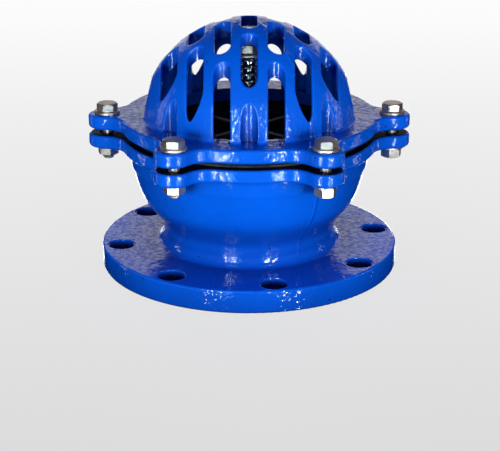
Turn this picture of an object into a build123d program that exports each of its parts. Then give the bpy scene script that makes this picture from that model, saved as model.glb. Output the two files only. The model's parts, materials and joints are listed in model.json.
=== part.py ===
from build123d import *
from math import cos, pi, sin
import os

# ---------------------------------------------------------------- driving dimensions (mm)
# Frame: origin at the centre of the outlet face, +Z up along the valve axis, dome on top.

# outlet flange (DN150, PN16 bolting)
FLANGE_R = 136.5
FLANGE_Z0 = 3.0
FLANGE_Z1 = 24.0
FACE_R = 105.5
PORT_R = 75.0
PIPE_HOLE_R = 11.5
PIPE_PCD = 240.0
PIPE_HOLES = 8
PIPE_HOLE_PHASE = 10.33
FACE_GROOVE_RADII = (84.0, 90.0, 96.0)
FACE_GROOVE_DEPTH = 0.5
FACE_GROOVE_WIDTH = 1.2
CASTING_EDGE = 2.0
HOLE_EDGE = 1.6

# lobed joint flanges of body and cover
LOBE_R = 117.0
EAR_COUNT = 6
EAR_PCD_R = 130.3
EAR_R = 16.3
EAR_BLEND_R = 21.0
JOINT_EDGE = 3.0
JOINT_HOLE_R = 6.75
BODY_JOINT_Z0 = 113.9
BODY_JOINT_Z1 = 126.3
COVER_JOINT_Z0 = 131.5
COVER_JOINT_Z1 = 144.2
JOINT_RING_R = 108.0

# bowl of the body, (radius, height) outside and inside
NECK_R = 79.0
NECK_Z = 40.0
BOWL_OUTSIDE = ((79.0, 40.0), (80.2, 45.0), (84.0, 51.0), (91.0, 59.0), (97.2, 68.0), (101.5, 78.0),
                (104.5, 88.0), (107.4, 99.0), (110.0, 113.9))
BOWL_INSIDE = ((70.0, 42.0), (71.5, 48.0), (76.0, 54.0), (82.5, 61.0), (88.5, 70.0), (92.5, 79.0),
               (95.3, 88.0), (97.6, 98.0), (98.2, 104.0))
NECK_BORE_R = 70.0
PORT_TAPER_Z = 14.0
NECK_FILLET = 9.0
LIP_R = 90.0
LIP_Z = 112.0
SEAT_POCKET_R = 100.3
SEAT_POCKET_Z = 116.8

# joint stack
COVER_GASKET_T = 1.8
GASKET_R0 = 88.5
GASKET_R1 = 107.5
SEAT_GASKET_T = 1.5

# strainer dome
DOME_R = 97.5
DOME_H = 88.0
DOME_IN_R = 85.5
DOME_IN_H = 78.5
DOME_POWER = 1.87
DOME_FOOT_FILLET = 3.5
DOME_STATIONS = 14
COVER_BORE_R = 88.0

# strainer slots, cut straight down the axis on a staggered grid
SLOT_W = 14.4
SLOT_L = 46.6
SLOT_PITCH_X = 23.4
SLOT_PITCH_Y = 55.8
SLOT_EDGE = 1.5
SIDE_GROOVE_X = 95.6

# seat ring with guide arms
SEAT_R0 = 62.0
SEAT_BEVEL = 4.0
SEAT_R1 = 100.0
SEAT_NOSE_R = 67.0
SEAT_NOSE_Z = 114.3
ARM_COUNT = 4
ARM_W = 8.0
ARM_IN_R = 5.5
ARM_OUT_R = 64.5
ARM_EDGE = 2.0
ARM_Z0 = 119.5
ARM_Z1 = 131.0
HUB_R = 16.0
HUB_Z0 = 121.5
HUB_Z1 = 139.0

# guide bush: sleeve, spring seat collar and travel stop
STEM_R = 6.0
GUIDE_CLEARANCE = 0.06
BUSH_R = 8.4
BUSH_COLLAR_R = 13.5
BUSH_COLLAR_T = 2.0
BUSH_STOP_GAP = 0.5

# moving parts
LIFT = 32.5
SEAL_GAP = 0.3
SEAL_R0 = 46.0
SEAL_R1 = 69.6
SEAL_STEP_R = 58.0
SEAL_T = 6.0
SEAL_LIP_T = 3.0
PLATE_GAP = 0.2
DISC_R = 72.5
DISC_RIM_R = 69.9
DISC_T = 9.0
DISC_RIM_H = 2.6
PLATE_R = 57.6
PLATE_T = 3.0
COLLAR_R = 12.0
COLLAR_T = 4.0
DISC_BOSS_R = 15.0
DISC_BOSS_T = 4.0
LOWER_WASHER_R = 12.0
LOWER_WASHER_T = 2.5
LOWER_NUT_AF = 18.0
LOWER_NUT_T = 10.0
LOCK_NUT_T = 6.0
STEM_TAIL = 3.5
STEM_TOP_R = 5.0
SPRING_TOP_Z = 198.0
SPRING_WASHER_R = 12.2
SPRING_WASHER_T = 2.6
STEM_NUT_AF = 17.0
STEM_NUT_T = 8.0
STEM_NUT_TURN = 49.0
STEM_TIP = 4.0

# closing spring
WIRE_R = 1.1
COIL_R = 10.2
COIL_TURNS = 8.0
COIL_END_GAP = 0.15

# cover bolts, washers and nuts (M10 x 45)
BOLT_R = 5.0
BOLT_AF = 17.0
BOLT_HEAD_T = 6.4
BOLT_FACE_R = 8.1
BOLT_FACE_T = 0.5
BOLT_UNDER_HEAD = 45.0
BOLT_TIP = 0.9
BOLT_WASHER_R = 11.5
BOLT_WASHER_GAP = 0.4
BOLT_WASHER_T = 2.5
BOLT_WASHER_EDGE = 0.4
BOLT_NUT_T = 8.4
FIT_GAP = 0.05

# hexagon corners: face circle as a share of the flats, and slope of the 30 degree chamfer
HEX_FACE = 0.475
HEX_SLOPE = 0.577

# how each joint bolt sits in its clearance hole, ear by ear from +X:
# (shift towards +X, turn of the head, turn of the nut, washer under the nut)
BOLT_FITTING = ((0.0, 7.0, 16.0, True), (0.0, -9.0, 4.0, True), (0.0, 12.0, -7.0, False),
                (1.0, 8.0, -14.0, False), (1.2, -5.0, -5.0, False), (0.0, 0.0, 12.0, True))


# ---------------------------------------------------------------- helpers
def ring(r_in, r_out, z0, z1):
    """Flat ring between two heights."""
    profile = Pos(0, 0, z0) * (Circle(r_out) - Circle(r_in))
    return extrude(profile, z1 - z0)


def disk(r, z0, z1):
    """Solid round plate between two heights."""
    return extrude(Pos(0, 0, z0) * Circle(r), z1 - z0)


def lathe(points):
    """Solid of revolution of a closed (radius, height) polygon."""
    return revolve(make_face(Plane.XZ * Polyline(*points, close=True)), Axis.Z)


def rim_circles(shape, radius):
    """Full-circle edges of one radius."""
    circles = shape.edges().filter_by(GeomType.CIRCLE)
    return circles.filter_by(lambda e: abs(e.radius - radius) < 0.05)


def hex_prism(across_flats, z0, z1, chamfer_top, chamfer_bottom, bore_r=0.0):
    """Hexagon with flats facing -Y and +Y, its corners turned down at the chosen ends."""
    corner_r = across_flats / 3 ** 0.5
    body = extrude(Pos(0, 0, z0) * RegularPolygon(corner_r, 6), z1 - z0)
    face_r = HEX_FACE * across_flats
    drop = (corner_r - face_r) * HEX_SLOPE
    top = z1 - drop if chamfer_top else z1
    bottom = z0 + drop if chamfer_bottom else z0
    r_top = face_r if chamfer_top else corner_r
    r_bottom = face_r if chamfer_bottom else corner_r
    points = [(0, z0), (r_bottom, z0)]
    if chamfer_bottom:
        points.append((corner_r, bottom))
    if chamfer_top:
        points.append((corner_r, top))
    points += [(r_top, z1), (0, z1)]
    if bore_r:
        return (body & lathe(points)) - disk(bore_r, z0 - 1, z1 + 1)
    return body & lathe(points)


def on_ears():
    """Locations of the six ears, all with the same orientation."""
    step = 2 * pi / EAR_COUNT
    return [Pos(EAR_PCD_R * cos(i * step), EAR_PCD_R * sin(i * step), 0) for i in range(EAR_COUNT)]


def lobed_outline():
    """Round joint flange with six ears blended in by concave arcs."""
    outline = Sketch() + Circle(LOBE_R)
    for place in on_ears():
        outline += place * Circle(EAR_R)
    corners = [v for v in outline.vertices()
               if abs((v.X ** 2 + v.Y ** 2) ** 0.5 - LOBE_R) < 0.05]
    return fillet(corners, EAR_BLEND_R)


def lobed_plate(z0, z1):
    """Joint flange plate with rounded outer edges."""
    plate = extrude(Pos(0, 0, z0) * lobed_outline(), z1 - z0)
    rims = plate.edges().filter_by(lambda e: abs(e.center().Z - z0) < 0.01
                                   or abs(e.center().Z - z1) < 0.01)
    return fillet(rims, JOINT_EDGE)


def dome_solid(radius, height, z_foot):
    """Superellipse dome standing on z_foot of the cover flange."""
    stations = [(i / DOME_STATIONS) * pi / 2 for i in range(DOME_STATIONS + 1)]
    exponent = 2 / DOME_POWER
    curve = [(radius * max(cos(a), 0.0) ** exponent, COVER_JOINT_Z1 + height * sin(a) ** exponent)
             for a in stations]
    crown = Spline(*curve, tangents=((0, 1), (-1, 0)))
    foot = Polyline((0, curve[-1][1]), (0, z_foot), (radius, z_foot), curve[0])
    return revolve(make_face(Plane.XZ * (crown + foot)), Axis.Z)


def slot_prism(x, y):
    """Vertical stadium cutter through the whole dome, long axis along Y."""
    shape = Pos(x, y, COVER_JOINT_Z1 - 5) * Rot(0, 0, 90) * SlotOverall(SLOT_L, SLOT_W)
    return extrude(shape, DOME_H + 10)


def slot_centres():
    """Grid positions of the through slots and of the shallow wall grooves."""
    px, py = SLOT_PITCH_X, SLOT_PITCH_Y
    columns = {0: (-1, 0, 1), 1: (-1.5, -0.5, 0.5, 1.5), 2: (-1, 0, 1), 3: (-0.5, 0.5)}
    through = [(i * px, k * py) for i, rows in columns.items() for k in rows]
    through += [(-x, y) for x, y in through if x > 0]
    grooves = [(0, 2 * py), (0, -2 * py), (-SIDE_GROOVE_X, 0), (SIDE_GROOVE_X, 0)]
    grooves += [(sx * 3 * px, sy * 1.5 * py) for sx in (-1, 1) for sy in (-1, 1)]
    return through, grooves


# ---------------------------------------------------------------- castings
def make_valve_body():
    outside = Spline(*BOWL_OUTSIDE, tangents=((0, 1), (0.12, 1)))
    top_r, top_z = BOWL_OUTSIDE[-1]
    shell_line = Polyline((top_r, top_z), (0, top_z), (0, FLANGE_Z0), (NECK_R, FLANGE_Z0),
                          (NECK_R, NECK_Z))
    bowl = revolve(make_face(Plane.XZ * (outside + shell_line)), Axis.Z)
    flange = disk(FLANGE_R, FLANGE_Z0, FLANGE_Z1)
    flange = fillet(rim_circles(flange, FLANGE_R), CASTING_EDGE)
    casting = bowl + flange
    neck_root = rim_circles(casting, NECK_R).filter_by(
        lambda e: abs(e.center().Z - FLANGE_Z1) < 0.1)
    casting = fillet(neck_root, NECK_FILLET)
    casting += lobed_plate(BODY_JOINT_Z0, BODY_JOINT_Z1)
    casting += disk(FACE_R, 0, FLANGE_Z0 + 1)
    casting -= body_cavity()
    for place in PolarLocations(PIPE_PCD / 2, PIPE_HOLES, start_angle=PIPE_HOLE_PHASE):
        casting -= place * pipe_hole()
    for place in on_ears():
        casting -= place * disk(JOINT_HOLE_R, BODY_JOINT_Z0 - 1, BODY_JOINT_Z1 + 1)
    half = FACE_GROOVE_WIDTH / 2
    for r in FACE_GROOVE_RADII:
        casting -= ring(r - half, r + half, -1, FACE_GROOVE_DEPTH)
    return casting


def body_cavity():
    """Water way of the body: port, neck bore, bowl, lip and seat pocket."""
    inside = Spline(*BOWL_INSIDE, tangents=((0, 1), (0, 1)))
    low_r, low_z = BOWL_INSIDE[0]
    high_r, high_z = BOWL_INSIDE[-1]
    upper = Polyline((high_r, high_z), (LIP_R, LIP_Z), (LIP_R, SEAT_POCKET_Z),
                     (SEAT_POCKET_R, SEAT_POCKET_Z), (SEAT_POCKET_R, BODY_JOINT_Z1 + 1),
                     (0, BODY_JOINT_Z1 + 1), (0, -1), (PORT_R, -1), (PORT_R, 1),
                     (NECK_BORE_R, PORT_TAPER_Z), (low_r, low_z))
    return revolve(make_face(Plane.XZ * (inside + upper)), Axis.Z)


def pipe_hole():
    """Cutter for a through hole of the outlet flange: rim rounded above, sharp in the face below."""
    r, e, z1 = PIPE_HOLE_R, HOLE_EDGE, FLANGE_Z1
    below = FLANGE_Z0 - 2
    rim = RadiusArc((r, z1 - e), (r + e, z1), -e)
    rest = Polyline((r + e, z1), (r + e, z1 + 2), (0, z1 + 2), (0, below), (r, below), (r, z1 - e))
    return revolve(make_face(Plane.XZ * (rim + rest)), Axis.Z)


def make_strainer_cover():
    cover = lobed_plate(COVER_JOINT_Z0, COVER_JOINT_Z1) + slotted_dome()
    cover += disk(JOINT_RING_R, BODY_JOINT_Z1 + COVER_GASKET_T, COVER_JOINT_Z0 + 1)
    cover -= dome_solid(DOME_IN_R, DOME_IN_H, COVER_JOINT_Z1 - 1)
    cover -= lathe([(0, BODY_JOINT_Z1), (COVER_BORE_R, BODY_JOINT_Z1),
                    (COVER_BORE_R, COVER_JOINT_Z1 - 8), (DOME_IN_R, COVER_JOINT_Z1),
                    (0, COVER_JOINT_Z1)])
    for place in on_ears():
        cover -= place * disk(JOINT_HOLE_R, COVER_JOINT_Z0 - 1, COVER_JOINT_Z1 + 1)
    return cover


def slotted_dome():
    """Solid dome with its slots cut down the axis, slot rims rounded, on a flared foot."""
    dome = dome_solid(DOME_R, DOME_H, COVER_JOINT_Z1 - 2)
    foot = foot_flare()
    through, grooves = slot_centres()
    for x, y in through + grooves:
        cutter = slot_prism(x, y)
        dome -= cutter
        foot -= cutter
    rims = dome.edges().filter_by(
        lambda e: e.geom_type not in (GeomType.CIRCLE, GeomType.LINE)
        and e.center().Z > COVER_JOINT_Z1 + 3)
    return fillet(rims, SLOT_EDGE) + foot


def foot_flare():
    """Concave fillet ring where the dome meets its flange."""
    r, z, e = DOME_R - 0.15, COVER_JOINT_Z1, DOME_FOOT_FILLET
    flare = RadiusArc((r + e, z), (r, z + e), e)
    rest = Polyline((r, z + e), (r - 2, z + e), (r - 2, z - 1), (r + e, z - 1), (r + e, z))
    return revolve(make_face(Plane.XZ * (flare + rest)), Axis.Z)


# ---------------------------------------------------------------- inside, fixed
def make_seat_guide():
    pocket = SEAT_POCKET_Z + SEAT_GASKET_T
    seat = lathe([(SEAT_R0, SEAT_NOSE_Z), (SEAT_NOSE_R, SEAT_NOSE_Z), (SEAT_NOSE_R, pocket),
                  (SEAT_R1, pocket), (SEAT_R1, BODY_JOINT_Z1), (SEAT_R0 + SEAT_BEVEL, BODY_JOINT_Z1),
                  (SEAT_R0, BODY_JOINT_Z1 - SEAT_BEVEL)])
    middle = (ARM_IN_R + ARM_OUT_R) / 2
    arm = extrude(Pos(middle, 0, ARM_Z0) * Rectangle(ARM_OUT_R - ARM_IN_R, ARM_W), ARM_Z1 - ARM_Z0)
    rise = fillet(arm.edges().filter_by(Axis.X), ARM_EDGE)
    for i in range(ARM_COUNT):
        seat += Rot(0, 0, 45 + i * 360 / ARM_COUNT) * rise
    seat += disk(HUB_R, HUB_Z0, HUB_Z1)
    seat -= disk(SEAT_R0, BODY_JOINT_Z1 - 40, SEAT_NOSE_Z)
    return seat - disk(BUSH_R, HUB_Z0 - 20, HUB_Z1 + 20)


def make_guide_bush():
    collar_z = HUB_Z1 + BUSH_COLLAR_T
    top = SPRING_TOP_Z - LIFT - BUSH_STOP_GAP
    bore = STEM_R + GUIDE_CLEARANCE
    return lathe([(bore, HUB_Z0 - 1), (BUSH_R - FIT_GAP, HUB_Z0 - 1), (BUSH_R - FIT_GAP, HUB_Z1),
                  (BUSH_COLLAR_R, HUB_Z1), (BUSH_COLLAR_R, collar_z), (BUSH_R, collar_z),
                  (BUSH_R, top), (bore, top)])


def make_seat_gasket():
    return ring(LIP_R, SEAT_R1, SEAT_POCKET_Z, SEAT_POCKET_Z + SEAT_GASKET_T)


def make_cover_gasket():
    return ring(GASKET_R0, GASKET_R1, BODY_JOINT_Z1, BODY_JOINT_Z1 + COVER_GASKET_T)


# ---------------------------------------------------------------- inside, moving
SEAL_Z1 = SEAT_NOSE_Z - SEAL_GAP
SEAL_Z0 = SEAL_Z1 - SEAL_T
PLATE_Z0 = SEAL_Z1 - PLATE_T
DISC_Z0 = SEAL_Z0 - DISC_T
BOSS_Z0 = DISC_Z0 - DISC_BOSS_T
LOWER_WASHER_Z0 = BOSS_Z0 - LOWER_WASHER_T
LOWER_NUT_Z0 = LOWER_WASHER_Z0 - LOWER_NUT_T
LOCK_NUT_Z0 = LOWER_NUT_Z0 - LOCK_NUT_T
STEM_Z0 = LOCK_NUT_Z0 - STEM_TAIL
NUT_Z0 = SPRING_TOP_Z + SPRING_WASHER_T
STEM_Z1 = NUT_Z0 + STEM_NUT_T + STEM_TIP


def make_valve_disc():
    profile = [(STEM_R + FIT_GAP, BOSS_Z0), (DISC_BOSS_R, BOSS_Z0), (DISC_BOSS_R + 3, DISC_Z0),
               (DISC_R - 4, DISC_Z0 + 1.5), (DISC_R, DISC_Z0 + 4), (DISC_R, SEAL_Z0 + DISC_RIM_H),
               (DISC_RIM_R, SEAL_Z0 + DISC_RIM_H), (DISC_RIM_R, SEAL_Z0), (SEAL_R0 - PLATE_GAP, SEAL_Z0),
               (SEAL_R0 - PLATE_GAP, PLATE_Z0), (STEM_R + FIT_GAP, PLATE_Z0)]
    return lathe(profile)


def make_disc_seal():
    return lathe([(SEAL_R0, SEAL_Z0), (SEAL_R1, SEAL_Z0), (SEAL_R1, SEAL_Z1),
                  (SEAL_STEP_R, SEAL_Z1), (SEAL_STEP_R, SEAL_Z0 + SEAL_LIP_T),
                  (SEAL_R0, SEAL_Z0 + SEAL_LIP_T)])


def make_seal_plate():
    return ring(STEM_R + FIT_GAP, PLATE_R, PLATE_Z0, SEAL_Z1 - PLATE_GAP)


def make_valve_stem():
    tip = 0.9
    top = STEM_TOP_R
    plate_top = SEAL_Z1 - PLATE_GAP
    return lathe([(0, STEM_Z0), (STEM_R - tip, STEM_Z0), (STEM_R, STEM_Z0 + tip),
                  (STEM_R, plate_top), (COLLAR_R, plate_top),
                  (COLLAR_R, plate_top + COLLAR_T - 0.8), (COLLAR_R - 0.8, plate_top + COLLAR_T),
                  (STEM_R, plate_top + COLLAR_T), (STEM_R, SPRING_TOP_Z), (top, SPRING_TOP_Z),
                  (top, STEM_Z1 - tip), (top - tip, STEM_Z1), (0, STEM_Z1)])


def make_disc_washer():
    return ring(STEM_R + FIT_GAP, LOWER_WASHER_R, LOWER_WASHER_Z0, BOSS_Z0)


def make_disc_nut():
    return hex_prism(LOWER_NUT_AF, LOWER_NUT_Z0, LOWER_WASHER_Z0, True, True, STEM_R + FIT_GAP)


def make_disc_lock_nut():
    return hex_prism(LOWER_NUT_AF, LOCK_NUT_Z0, LOWER_NUT_Z0, True, True, STEM_R + FIT_GAP)


def make_spring_washer():
    washer = ring(STEM_TOP_R + FIT_GAP, SPRING_WASHER_R, SPRING_TOP_Z, NUT_Z0)
    return chamfer(rim_circles(washer, SPRING_WASHER_R), 0.4)


def make_stem_nut():
    nut = hex_prism(STEM_NUT_AF, NUT_Z0, NUT_Z0 + STEM_NUT_T, True, True, STEM_TOP_R + FIT_GAP)
    return Rot(0, 0, STEM_NUT_TURN) * nut


def make_closing_spring():
    base = HUB_Z1 + BUSH_COLLAR_T + COIL_END_GAP + WIRE_R
    top = SPRING_TOP_Z - COIL_END_GAP - WIRE_R
    height = top - base
    path = Pos(0, 0, base) * Helix(pitch=height / COIL_TURNS, height=height, radius=COIL_R)
    start = Plane(origin=path @ 0, z_dir=path % 0)
    return sweep(start * Circle(WIRE_R), path=path, is_frenet=True)


# ---------------------------------------------------------------- fasteners
def make_cover_bolt(turn):
    """Hexagon bolt with a washer face under its head; the head is turned about the shank."""
    seat = COVER_JOINT_Z1 + BOLT_WASHER_T
    end = seat - BOLT_UNDER_HEAD
    head = seat + BOLT_FACE_T
    shank = lathe([(0, end), (BOLT_R - BOLT_TIP, end), (BOLT_R, end + BOLT_TIP), (BOLT_R, seat),
                   (BOLT_FACE_R, seat), (BOLT_FACE_R, head + 1), (0, head + 1)])
    return shank + Rot(0, 0, turn) * hex_prism(BOLT_AF, head, head + BOLT_HEAD_T, True, False)


def make_flat_washer(z0):
    washer = ring(BOLT_R + BOLT_WASHER_GAP, BOLT_WASHER_R, z0, z0 + BOLT_WASHER_T)
    return chamfer(rim_circles(washer, BOLT_WASHER_R), BOLT_WASHER_EDGE)


def make_cover_nut(turn, top):
    nut = hex_prism(BOLT_AF, top - BOLT_NUT_T, top, True, True, BOLT_R + FIT_GAP)
    return Rot(0, 0, turn) * nut


def fasteners():
    """Bolt, washers and nut of each ear."""
    nodes = {}
    for i, (place, fitting) in enumerate(zip(on_ears(), BOLT_FITTING), start=1):
        shift, head_turn, nut_turn, washed = fitting
        spot = Pos(shift, 0, 0) * place
        nut_top = BODY_JOINT_Z0
        nodes[f"cover_bolt_{i}"] = spot * make_cover_bolt(head_turn)
        nodes[f"bolt_washer_{i}"] = spot * make_flat_washer(COVER_JOINT_Z1)
        if washed:
            nut_top -= BOLT_WASHER_T
            nodes[f"nut_washer_{i}"] = spot * make_flat_washer(nut_top)
        nodes[f"cover_nut_{i}"] = spot * make_cover_nut(nut_turn, nut_top)
    return nodes


# ---------------------------------------------------------------- build
def build_all():
    return {
        "valve_body": make_valve_body(),
        "strainer_cover": make_strainer_cover(),
        "seat_guide": make_seat_guide(),
        "guide_bush": make_guide_bush(),
        "seat_gasket": make_seat_gasket(),
        "cover_gasket": make_cover_gasket(),
        "valve_stem": make_valve_stem(),
        "valve_disc": make_valve_disc(),
        "disc_seal": make_disc_seal(),
        "seal_plate": make_seal_plate(),
        "disc_washer": make_disc_washer(),
        "disc_nut": make_disc_nut(),
        "disc_lock_nut": make_disc_lock_nut(),
        "spring_washer": make_spring_washer(),
        "stem_nut": make_stem_nut(),
        "closing_spring": make_closing_spring(),
        **fasteners(),
    }


os.makedirs("parts", exist_ok=True)
for name, shape in build_all().items():
    export_step(shape, f"parts/{name}.step")
    print(name, round(shape.volume), "mm3")
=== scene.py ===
import json
import math

import bpy
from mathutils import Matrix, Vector

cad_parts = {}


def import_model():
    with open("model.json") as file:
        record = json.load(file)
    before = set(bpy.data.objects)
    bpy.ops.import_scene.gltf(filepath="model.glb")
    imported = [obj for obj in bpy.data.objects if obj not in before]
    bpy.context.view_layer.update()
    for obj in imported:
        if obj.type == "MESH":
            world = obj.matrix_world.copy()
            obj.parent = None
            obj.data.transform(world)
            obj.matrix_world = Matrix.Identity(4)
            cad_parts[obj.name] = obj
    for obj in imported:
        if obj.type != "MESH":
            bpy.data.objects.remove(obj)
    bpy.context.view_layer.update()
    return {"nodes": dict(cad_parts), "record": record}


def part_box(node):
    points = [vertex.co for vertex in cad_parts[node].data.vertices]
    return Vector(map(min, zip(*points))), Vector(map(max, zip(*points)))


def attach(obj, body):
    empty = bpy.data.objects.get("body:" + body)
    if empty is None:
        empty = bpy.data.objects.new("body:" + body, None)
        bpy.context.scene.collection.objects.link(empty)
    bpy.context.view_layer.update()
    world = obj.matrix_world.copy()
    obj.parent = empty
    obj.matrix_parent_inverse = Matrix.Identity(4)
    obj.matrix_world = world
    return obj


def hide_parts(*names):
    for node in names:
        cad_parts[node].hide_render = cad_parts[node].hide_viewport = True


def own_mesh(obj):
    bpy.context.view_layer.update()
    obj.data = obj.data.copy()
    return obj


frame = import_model()
NODES = frame["nodes"]
SCENE = bpy.context.scene
MM = 0.001
TAU = 2.0 * math.pi

# Fastener and spring details that the frame does not give, in millimetres unless said.
M10_R = 5.0
M10_PITCH = 1.5
M12_R = 6.0
M12_PITCH = 1.75
THREAD_DEPTH = 0.61     # of the pitch
THREAD_FLANK = 2.4      # how fast a tooth rises, so that crests are flat
CHAMFER = 0.9
BOLT_AF = 17.0
BOLT_HEAD_T = 6.4
BOLT_FACE_R = 8.1
BOLT_FACE_T = 0.5
BOLT_THREAD = 24.0
HEX_FACE = 0.475        # radius of the head's flat top, of the size across flats
HEX_SLOPE = 0.577       # fall of the head's corners outside that top
HEAD_PROBE = 1.0        # height above the head's underside where its corners are looked for
STEM_COLLAR_T = 4.0
STEM_COLLAR_CHAMFER = 0.8
STEM_THREAD_IN = 2.0    # how far the lower thread runs up into the disc
STEM_NECK = 0.5         # plain length above the washer's shoulder
WIRE_R = 1.1
COIL_R = 10.2
COIL_PITCH = 6.6
COIL_END_TURNS = 0.75
COIL_END_ANGLE = 172.8  # degrees from +X to the wire's upper end

# Mesh density
AROUND = 72
AROUND_WIRE = 12
RINGS_PER_PITCH = 8
RINGS_PER_COIL = 44
CARD_STEPS = 12

# Places on the castings, in metres and degrees.
PARTING_ANGLE = -56.0
PARTING_HALF = 0.0022
PARTING_LOW = 0.026
PARTING_FADE = 0.012
PARTING_WAVER = 0.003
GAP_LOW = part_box("cover_gasket")[0][2]
GAP_HIGH = GAP_LOW + 0.0052
GAP_SOFT = 0.0003
# Reach of the ambient occlusion that paints shade into the hollows, in metres.
PAINTED_SHADE_REACH = 0.06

# Colours
PAINT_DEEP = (0.0004, 0.095, 0.73)
PAINT_BRIGHT = (0.0005, 0.112, 0.85)
# Deep navy of the painted shade in the hollows.
PAINTED_HOLLOW_SHADE = (0.0003, 0.010, 0.16)
# Near black: the colour of the bare pits, and painted shade in the gap between the joint flanges.
BARE_PIT_AND_GAP_SHADE = (0.002, 0.004, 0.02)
STAINLESS = (0.66, 0.51, 0.45)
POLISHED = (0.60, 0.46, 0.42)
DISC_GREY = (0.30, 0.30, 0.31)
SPRING_GREY = (0.60, 0.49, 0.45)
SEAT_DARK = (0.030, 0.027, 0.022)
SEAT_TARNISH = (0.014, 0.013, 0.012)
GUIDE_DARK = (0.22, 0.15, 0.07)
GUIDE_TARNISH = (0.11, 0.075, 0.04)
SEAL_BLACK = (0.02, 0.02, 0.02)
GASKET_BLACK = (0.012, 0.012, 0.014)
WHITE = (1.0, 1.0, 1.0)
AZURE = (0.25, 0.75, 1.0)
PALE = (0.8, 0.95, 1.0)
KEY_COLOUR = (1.0, 1.0, 0.88)
SKY = (0.35, 0.40, 1.0)

# Camera
CAMERA_AT = (0.0, -1.42769, 0.55824)
CAMERA_DOWN = 20.15
CAMERA_LENS = 117.08
CAMERA_SENSOR = 36.0
CAMERA_SHIFT = 0.0016
CAMERA_FAR = 20.0

# Lamps: watts and metres.
KEY_SIZE = (1.3, 0.9)
KEY_X = 2.1
KEY_Y = 3.65
FRONT_KEY_Z = 0.52
REAR_KEY_Z = 0.60
FRONT_POWER = 128.0
REAR_POWER = 70.0
AIM = (0.0, 0.0, 0.12)

# Cards seen only in reflections: radius in metres, degrees from the front, heights, strength.
SOFTBOX_R = 0.62
SOFTBOXES = {"softbox_left": (-23.0, -12.5), "softbox_right": (17.5, 27.0)}
SOFTBOX = 6.0
STRIP_R = 0.60
STRIP_ANGLES = (-28.0, -20.0, 23.5, 33.0)
STRIP_HALF = 0.6
STRIP = 75.0
FRONT_HEIGHTS = (-0.16, 0.5)
SIDE_R = 0.95
SIDES = {"side_left": (-106.0, -103.0), "side_right": (103.0, 106.0)}
SIDE_HEIGHTS = (-0.3, 0.5)
SIDE = 4.0
REAR_ANGLE = 180.0
REAR_CARD_TURN = 20.0
REAR_CARD_HALF = 5.0
REAR_HEIGHTS = (-0.3, 0.07)
REAR_CARD = 4.0
FAR_R = 2.0
BACKDROP_ANGLES = (145.0, 215.0)
BACKDROP_HEIGHTS = (0.45, 1.2)
RIM_ANGLES = (160.0, 200.0)
RIM_HEIGHTS = (-1.0, 0.45)
BACKDROP = 1.0

# Floor and sky
FLOOR_HALF = 6.0
FLOOR_GREYS = ((0.10, 0.10, 0.10), (0.12, 0.12, 0.12))
FLOOR_NEAR_Y = -0.5
FLOOR_FAR_Y = 1.0
FLOOR_NEAR = 0.66
FLOOR_FAR = 0.93
SKY_POWER = 0.12


# ------------------------------------------------------------------ material helpers
class Nodes:
    """Small helper around one material's node tree."""

    def __init__(self, name):
        self.mat = bpy.data.materials.new(name)
        self.mat.use_nodes = True
        self.tree = self.mat.node_tree
        self.shader = self.tree.nodes["Principled BSDF"]
        coords = self.add("ShaderNodeTexCoord")
        self.place = coords.outputs["Object"]

    def put(self, socket, value):
        if isinstance(value, bpy.types.NodeSocket):
            self.tree.links.new(value, socket)
        else:
            socket.default_value = value

    def add(self, kind, **inputs):
        node = self.tree.nodes.new(kind)
        for key, value in inputs.items():
            self.put(node.inputs[key.replace("_", " ")], value)
        return node

    def set(self, key, value):
        self.put(self.shader.inputs[key], value)

    def coordinate(self, axis):
        return self.add("ShaderNodeSeparateXYZ", Vector=self.place).outputs[axis]

    def stretched(self, scale):
        return self.add("ShaderNodeMapping", Vector=self.place, Scale=scale).outputs["Vector"]

    def noise(self, scale, detail=3.0, rough=0.5, vector=None):
        node = self.add("ShaderNodeTexNoise", Vector=vector or self.place, Scale=scale,
                        Detail=detail, Roughness=rough)
        return node.outputs["Fac"]

    def cells(self, scale):
        node = self.add("ShaderNodeTexVoronoi", Vector=self.place, Scale=scale)
        return node.outputs["Distance"]

    def span(self, value, lo, hi, out_lo=0.0, out_hi=1.0):
        node = self.tree.nodes.new("ShaderNodeMapRange")
        for index, item in enumerate((value, lo, hi, out_lo, out_hi)):
            self.put(node.inputs[index], item)
        return node.outputs["Result"]

    def math(self, operation, *values):
        node = self.tree.nodes.new("ShaderNodeMath")
        node.operation = operation
        for index, item in enumerate(values):
            self.put(node.inputs[index], item)
        return node.outputs[0]

    def mix(self, factor, a, b):
        node = self.tree.nodes.new("ShaderNodeMix")
        node.data_type = "RGBA"
        for socket, value in ((node.inputs[0], factor), (node.inputs[6], a), (node.inputs[7], b)):
            self.put(socket, (*value, 1.0) if isinstance(value, tuple) else value)
        return node.outputs[2]

    def bump(self, layers):
        """layers: (height socket, strength, distance in metres). The coat takes the same relief."""
        normal = None
        for height, strength, distance in layers:
            node = self.add("ShaderNodeBump", Height=height, Strength=strength, Distance=distance)
            if normal is not None:
                self.tree.links.new(normal, node.inputs["Normal"])
            normal = node.outputs["Normal"]
        self.set("Normal", normal)
        self.set("Coat Normal", normal)


def by_ray(tree, kind, yes, no):
    """Value that differs for one kind of ray; only the stage and the world use it."""
    path = tree.nodes.new("ShaderNodeLightPath")
    node = tree.nodes.new("ShaderNodeMapRange")
    tree.links.new(path.outputs[kind], node.inputs["Value"])
    node.inputs["To Min"].default_value = no
    node.inputs["To Max"].default_value = yes
    return node.outputs["Result"]


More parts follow.
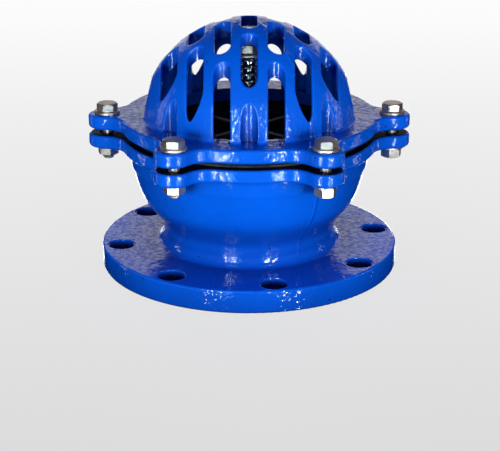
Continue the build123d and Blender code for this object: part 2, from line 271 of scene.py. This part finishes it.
# ------------------------------------------------------------------ materials
def parting_line(m):
    """Height of the flash line left by the mould halves, on a vertical plane through the axis."""
    angle = math.radians(PARTING_ANGLE)
    across_x = m.math("MULTIPLY", m.coordinate("X"), -math.sin(angle))
    across_y = m.math("MULTIPLY", m.coordinate("Y"), math.cos(angle))
    across = m.math("ADD", across_x, across_y)
    wander = m.math("SUBTRACT", m.noise(scale=40.0, detail=2.0), 0.5)
    waver = m.math("MULTIPLY", wander, PARTING_WAVER)
    distance = m.math("ABSOLUTE", m.math("ADD", across, waver))
    bowl = m.span(m.coordinate("Z"), PARTING_LOW, PARTING_LOW + PARTING_FADE)
    return m.math("MULTIPLY", bowl, m.span(distance, 0.0, PARTING_HALF, 1.0, 0.0))


def joint_gap_shade(m):
    """1 on the faces between the two joint flanges, which get painted shade, near black and without
    coat; 0 on the rest of the castings.
    """
    height = m.coordinate("Z")
    above = m.span(height, GAP_LOW - GAP_SOFT, GAP_LOW - GAP_SOFT / 2)
    below = m.span(height, GAP_HIGH + GAP_SOFT / 2, GAP_HIGH + GAP_SOFT, 1.0, 0.0)
    return m.math("MULTIPLY", above, below)


def blue_paint():
    """Thick glossy paint over sand castings with a few bare pits; painted shade darkens it in the
    hollows and paints the joint gap near black.
    """
    m = Nodes("blue_paint")
    pits = m.span(m.cells(scale=75.0), 0.055, 0.075, 1.0, 0.0)
    pitted = m.math("MULTIPLY", pits, m.span(m.noise(scale=18.0, detail=2.0), 0.50, 0.56))
    # Pits are bare casting; the gap between the joint flanges gets painted shade, near black and
    # without coat.
    pits_and_gap_shade = m.math("MAXIMUM", pitted, joint_gap_shade(m))

    # Painted shade: ambient occlusion darkens the paint towards deep navy in hollows, creases and
    # under overhangs.
    hollow = m.add("ShaderNodeAmbientOcclusion", Distance=PAINTED_SHADE_REACH)
    hollow.samples = 8
    painted_shade = m.span(hollow.outputs["AO"], 0.30, 0.90, 0.92, 0.0)
    paint = m.mix(m.span(m.noise(scale=14.0), 0.35, 0.65), PAINT_DEEP, PAINT_BRIGHT)
    paint = m.mix(painted_shade, paint, PAINTED_HOLLOW_SHADE)
    m.set("Base Color", m.mix(pits_and_gap_shade, paint, BARE_PIT_AND_GAP_SHADE))
    m.set("Roughness", m.span(m.noise(scale=160.0), 0.3, 0.7, 0.4, 0.6))
    m.set("Specular IOR Level", 0.05)

    matt = m.span(m.noise(scale=240.0, detail=4.0, rough=0.6), 0.42, 0.6, 1.0, 0.35)
    m.set("Coat Weight", m.math("MULTIPLY", matt, m.span(pits_and_gap_shade, 0.0, 1.0, 1.0, 0.0)))
    m.set("Coat Roughness", 0.01)

    cast = m.noise(scale=90.0, detail=2.0)
    peel = m.noise(scale=300.0, detail=1.0)
    smoother_below_joint = m.span(m.coordinate("Z"), GAP_LOW, GAP_HIGH, 0.5, 1.0)
    peel = m.math("MULTIPLY", peel, smoother_below_joint)
    m.bump([(parting_line(m), 1.0, 0.0007), (cast, 0.5, 0.0009), (peel, 0.5, 0.0008),
            (pits, 0.5, -0.0004)])
    return m.mat


def steel(name, colour, roughness, streak_scale, relief):
    m = Nodes(name)
    streaks = m.noise(scale=1.0, rough=0.6, vector=m.stretched(streak_scale))
    cloud = m.noise(scale=90.0)
    dark = tuple(c * 0.7 for c in colour)
    m.set("Base Color", m.mix(m.span(cloud, 0.35, 0.7), colour, dark))
    m.set("Metallic", 1.0)
    m.set("Roughness", m.span(streaks, 0.3, 0.7, *roughness))
    m.bump([(streaks, 0.4, relief), (cloud, 0.3, relief)])
    return m.mat


def bronze(name, colour, tarnish, smooth):
    m = Nodes(name)
    cloud = m.noise(scale=60.0, detail=4.0)
    grain = m.noise(scale=700.0, detail=2.0)
    m.set("Base Color", m.mix(m.span(cloud, 0.35, 0.7), colour, tarnish))
    m.set("Metallic", 0.8)
    m.set("Roughness", m.span(grain, 0.3, 0.7, smooth, smooth + 0.15))
    m.bump([(grain, 0.4, 0.0001)])
    return m.mat


def rubber(name, colour):
    m = Nodes(name)
    grain = m.noise(scale=1200.0)
    cloud = m.noise(scale=70.0)
    pale = tuple(c * 2.2 + 0.01 for c in colour)
    m.set("Base Color", m.mix(m.span(cloud, 0.4, 0.7), colour, pale))
    m.set("Roughness", m.span(grain, 0.3, 0.7, 0.6, 0.8))
    m.set("Specular IOR Level", 0.2)
    m.bump([(grain, 0.5, 0.0001)])
    return m.mat


FINISH = {
    "blue_paint": blue_paint(),
    "stainless_fastener": steel("stainless_fastener", STAINLESS, (0.38, 0.52),
                                streak_scale=(300, 300, 900), relief=0.00005),
    "polished_steel": steel("polished_steel", POLISHED, (0.08, 0.18),
                            streak_scale=(60, 60, 2500), relief=0.00003),
    "disc_steel": steel("disc_steel", DISC_GREY, (0.25, 0.45),
                        streak_scale=(300, 300, 300), relief=0.00008),
    "spring_steel": steel("spring_steel", SPRING_GREY, (0.18, 0.32),
                          streak_scale=(800, 800, 800), relief=0.00004),
    "seat_bronze": bronze("seat_bronze", SEAT_DARK, SEAT_TARNISH, smooth=0.5),
    "guide_bronze": bronze("guide_bronze", GUIDE_DARK, GUIDE_TARNISH, smooth=0.35),
    "seal_rubber": rubber("seal_rubber", SEAL_BLACK),
    "gasket_rubber": rubber("gasket_rubber", GASKET_BLACK),
}


def paint_nodes():
    for entry in frame["record"]["subparts"]:
        mesh = NODES[entry["node"]].data
        mesh.materials.clear()
        mesh.materials.append(FINISH[entry["material_slot"]])


# ------------------------------------------------------------------ pieces made of rings
def shell(name, rings, slot_name, body, node, crease=30.0):
    """Closed mesh through rings of points given in millimetres, with a flat cap at each end."""
    count = len(rings[0])
    verts = [tuple(c * MM for c in point) for ring in rings for point in ring]
    faces = [tuple(reversed(range(count)))]
    for row in range(len(rings) - 1):
        a, b = row * count, (row + 1) * count
        for i in range(count):
            j = (i + 1) % count
            faces.append((a + i, a + j, b + j, b + i))
    faces.append(tuple(range(len(verts) - count, len(verts))))
    mesh = bpy.data.meshes.new(name)
    mesh.from_pydata(verts, [], faces)
    mesh.shade_smooth()
    mesh.set_sharp_from_angle(angle=math.radians(crease))
    mesh.materials.append(FINISH[slot_name])
    obj = bpy.data.objects.new(name, mesh)
    SCENE.collection.objects.link(obj)
    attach(obj, body)
    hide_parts(node)
    return obj


def polar(centre, radius, height):
    """One ring about a vertical axis; radius and height are numbers or functions of the angle."""
    ring = []
    for i in range(AROUND):
        angle = TAU * i / AROUND
        r = radius(angle) if callable(radius) else radius
        z = height(angle) if callable(height) else height
        ring.append((centre[0] + r * math.cos(angle), centre[1] + r * math.sin(angle), z))
    return ring


def thread_rings(centre, major, pitch, z0, z1):
    """Rings of a right-hand thread between two heights, fading out at both of them."""
    depth = THREAD_DEPTH * pitch
    steps = max(2, round((z1 - z0) / pitch * RINGS_PER_PITCH))
    rings = []
    for k in range(steps + 1):
        z = z0 + (z1 - z0) * k / steps

        def radius(angle, z=z):
            phase = (z / pitch - angle / TAU) % 1.0
            tooth = min(1.0, THREAD_FLANK * abs(phase - 0.5))
            fade = min(1.0, (z - z0) / pitch, (z1 - z) / pitch)
            return major - depth * (1.0 - tooth) * max(0.0, fade)

        rings.append(polar(centre, radius, z))
    return rings


def box_mm(node):
    lo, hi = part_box(node)
    return [c / MM for c in lo], [c / MM for c in hi]


def corner_angle(node, centre, floor_z):
    """Angle of one corner of a hexagon head, from its CAD node."""
    best, angle = 0.0, 0.0
    for vertex in NODES[node].data.vertices:
        x = vertex.co.x / MM - centre[0]
        y = vertex.co.y / MM - centre[1]
        if vertex.co.z / MM > floor_z and math.hypot(x, y) > best:
            best, angle = math.hypot(x, y), math.atan2(y, x)
    return angle


def cover_bolt(index):
    """Hexagon bolt with a threaded lower end and a chamfered head."""
    node = f"cover_bolt_{index}"
    lo, hi = box_mm(node)
    centre = ((lo[0] + hi[0]) / 2, (lo[1] + hi[1]) / 2)
    tip, top = lo[2], hi[2]
    head = top - BOLT_HEAD_T
    seat = head - BOLT_FACE_T
    turn = corner_angle(node, centre, head + HEAD_PROBE)
    face_r = HEX_FACE * BOLT_AF

    def flat_to_flat(angle):
        return BOLT_AF / 2 / math.cos((angle - turn) % (TAU / 6) - TAU / 12)

    def wall_top(angle):
        return top - max(0.0, flat_to_flat(angle) - face_r) * HEX_SLOPE

    rings = [polar(centre, M10_R - CHAMFER, tip), polar(centre, M10_R, tip + CHAMFER)]
    rings += thread_rings(centre, M10_R, M10_PITCH, tip + CHAMFER, tip + BOLT_THREAD)
    rings += [polar(centre, r, z) for r, z in (
        (M10_R, seat), (BOLT_FACE_R, seat), (BOLT_FACE_R, head),
        (flat_to_flat, head), (flat_to_flat, wall_top), (face_r, top))]
    shell(f"cover_bolt_{index}_threaded", rings, "stainless_fastener", "casing", node)


def stem():
    """Rod through the disc, with a thread and a collar below and a thinner thread on top."""
    lo, hi = box_mm("valve_stem")
    axis = (0.0, 0.0)
    disc_low = box_mm("valve_disc")[0][2]
    plate_top = box_mm("seal_plate")[1][2]
    shoulder = box_mm("spring_washer")[0][2]
    collar_r, collar_top = hi[0], plate_top + STEM_COLLAR_T

    rings = [polar(axis, M12_R - CHAMFER, lo[2]), polar(axis, M12_R, lo[2] + CHAMFER)]
    rings += thread_rings(axis, M12_R, M12_PITCH, lo[2] + CHAMFER, disc_low + STEM_THREAD_IN)
    rings += [polar(axis, r, z) for r, z in (
        (M12_R, plate_top), (collar_r, plate_top), (collar_r, collar_top - STEM_COLLAR_CHAMFER),
        (collar_r - STEM_COLLAR_CHAMFER, collar_top), (M12_R, collar_top), (M12_R, shoulder),
        (M10_R, shoulder))]
    rings += thread_rings(axis, M10_R, M10_PITCH, shoulder + STEM_NECK, hi[2] - CHAMFER)
    rings += [polar(axis, M10_R - CHAMFER, hi[2])]
    shell("stem_turned", rings, "polished_steel", "disc_assembly", "valve_stem")


def closing_spring():
    """Right-hand coil spring with closed ends, flattened by the disc's stroke."""
    lo, hi = box_mm("closing_spring")
    low, high = lo[2] + WIRE_R, hi[2] - WIRE_R
    end_rise = COIL_END_TURNS * 2 * WIRE_R
    active = (high - low - 2 * end_rise) / COIL_PITCH
    turns = active + 2 * COIL_END_TURNS
    steps = round(turns * RINGS_PER_COIL)
    up = Vector((0.0, 0.0, 1.0))
    rings = []
    for k in range(steps + 1):
        turn = turns * k / steps
        if turn < COIL_END_TURNS:
            z = low + turn * 2 * WIRE_R
        elif turn > turns - COIL_END_TURNS:
            z = high - (turns - turn) * 2 * WIRE_R
        else:
            z = low + end_rise + (turn - COIL_END_TURNS) * COIL_PITCH
        angle = math.radians(COIL_END_ANGLE) - (turns - turn) * TAU
        out = Vector((math.cos(angle), math.sin(angle), 0.0))
        middle = out * COIL_R + up * z
        rings.append([tuple(middle + (out * math.cos(t) - up * math.sin(t)) * WIRE_R)
                      for t in (TAU * i / AROUND_WIRE for i in range(AROUND_WIRE))])
    piece = shell("spring_coil", rings, "spring_steel", "casing", "closing_spring", crease=50.0)
    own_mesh(piece)


# ------------------------------------------------------------------ studio
def camera():
    data = bpy.data.cameras.new("camera")
    cam = bpy.data.objects.new("camera", data)
    SCENE.collection.objects.link(cam)
    cam.location = CAMERA_AT
    cam.rotation_euler = (math.radians(90.0 - CAMERA_DOWN), 0.0, 0.0)
    data.sensor_width = CAMERA_SENSOR
    data.lens = CAMERA_LENS
    data.shift_x = CAMERA_SHIFT
    data.clip_end = CAMERA_FAR
    SCENE.camera = cam


def key_lamp(name, location, power):
    """Large soft lamp aimed at the valve. It lights the paint and is never mirrored in it."""
    data = bpy.data.lights.new(name, "AREA")
    data.shape = "RECTANGLE"
    data.size, data.size_y = KEY_SIZE
    data.energy = power
    data.color = KEY_COLOUR
    lamp = bpy.data.objects.new(name, data)
    SCENE.collection.objects.link(lamp)
    lamp.location = location
    lamp.rotation_euler = (Vector(AIM) - Vector(location)).to_track_quat("-Z", "Y").to_euler()
    lamp.visible_camera = False
    lamp.visible_glossy = False


def card_material(name, strength, colour):
    mat = bpy.data.materials.new(name)
    mat.use_nodes = True
    tree = mat.node_tree
    tree.nodes.clear()
    emission = tree.nodes.new("ShaderNodeEmission")
    emission.inputs["Strength"].default_value = strength
    emission.inputs["Color"].default_value = (*colour, 1.0)
    out = tree.nodes.new("ShaderNodeOutputMaterial")
    tree.links.new(emission.outputs[0], out.inputs["Surface"])
    return mat


def curved_card(name, radius, degrees, heights, strength, colour=WHITE):
    """Upright strip of a cylinder about the axis, seen only in reflections.

    Its angles count from -Y, towards +X.
    """
    start, end = degrees
    verts, faces = [], []
    for i in range(CARD_STEPS + 1):
        a = math.radians(start + (end - start) * i / CARD_STEPS)
        for z in heights:
            verts.append((radius * math.sin(a), -radius * math.cos(a), z))
    for i in range(CARD_STEPS):
        k = 2 * i
        faces.append((k, k + 2, k + 3, k + 1))
    mesh = bpy.data.meshes.new(name)
    mesh.from_pydata(verts, [], faces)
    mesh.materials.append(card_material(name, strength, colour))
    obj = bpy.data.objects.new(name, mesh)
    SCENE.collection.objects.link(obj)
    obj.visible_camera = False
    obj.visible_diffuse = False
    obj.visible_shadow = False
    obj.visible_transmission = False


def lights():
    for side in (-1, 1):
        key_lamp(f"front_key_{side + 1}", (side * KEY_X, -KEY_Y, FRONT_KEY_Z), FRONT_POWER)
        key_lamp(f"rear_key_{side + 1}", (side * KEY_X, KEY_Y, REAR_KEY_Z), REAR_POWER)
        middle = REAR_ANGLE + side * REAR_CARD_TURN
        edges = (middle - REAR_CARD_HALF, middle + REAR_CARD_HALF)
        curved_card(f"rear_card_{side + 1}", SOFTBOX_R, edges, REAR_HEIGHTS, REAR_CARD)
    for name, edges in SOFTBOXES.items():
        curved_card(name, SOFTBOX_R, edges, FRONT_HEIGHTS, SOFTBOX, AZURE)
    for index, angle in enumerate(STRIP_ANGLES):
        edges = (angle - STRIP_HALF, angle + STRIP_HALF)
        curved_card(f"strip_{index}", STRIP_R, edges, FRONT_HEIGHTS, STRIP, PALE)
    for name, edges in SIDES.items():
        curved_card(name, SIDE_R, edges, SIDE_HEIGHTS, SIDE)
    curved_card("backdrop", FAR_R, BACKDROP_ANGLES, BACKDROP_HEIGHTS, BACKDROP)
    curved_card("rim_light", FAR_R, RIM_ANGLES, RIM_HEIGHTS, BACKDROP)


def floor():
    """Pale floor that glows for the camera alone, brighter further back."""
    half = FLOOR_HALF
    corners = [(-half, -half, 0), (half, -half, 0), (half, half, 0), (-half, half, 0)]
    mesh = bpy.data.meshes.new("floor")
    mesh.from_pydata(corners, [], [(0, 1, 2, 3)])
    obj = bpy.data.objects.new("floor", mesh)
    SCENE.collection.objects.link(obj)
    m = Nodes("floor_grey")
    m.set("Base Color", m.mix(m.noise(scale=3.0, detail=2.0), *FLOOR_GREYS))
    m.set("Roughness", 0.6)
    m.set("Specular IOR Level", 0.0)
    m.set("Emission Color", (*WHITE, 1.0))
    glow = m.span(m.coordinate("Y"), FLOOR_NEAR_Y, FLOOR_FAR_Y, FLOOR_NEAR, FLOOR_FAR)
    m.set("Emission Strength", m.math("MULTIPLY", glow, by_ray(m.tree, "Is Camera Ray", 1.0, 0.0)))
    mesh.materials.append(m.mat)
    obj.visible_glossy = False


def world():
    """Faint blue fill that reflections leave out, and a pale sky for the camera."""
    studio = bpy.data.worlds.new("studio")
    SCENE.world = studio
    studio.use_nodes = True
    tree = studio.node_tree
    background = tree.nodes["Background"]
    background.inputs["Color"].default_value = (*SKY, 1.0)
    tree.links.new(by_ray(tree, "Is Glossy Ray", 0.0, SKY_POWER), background.inputs["Strength"])
    seen = tree.nodes.new("ShaderNodeBackground")
    seen.inputs["Color"].default_value = (*WHITE, 1.0)
    seen.inputs["Strength"].default_value = FLOOR_FAR
    switch = tree.nodes.new("ShaderNodeMixShader")
    tree.links.new(by_ray(tree, "Is Camera Ray", 1.0, 0.0), switch.inputs[0])
    tree.links.new(background.outputs[0], switch.inputs[1])
    tree.links.new(seen.outputs[0], switch.inputs[2])
    tree.links.new(switch.outputs[0], tree.nodes["World Output"].inputs["Surface"])
    SCENE.view_settings.view_transform = "Standard"


paint_nodes()
for bolt in range(1, 7):
    cover_bolt(bolt)
stem()
closing_spring()
camera()
world()
lights()
floor()
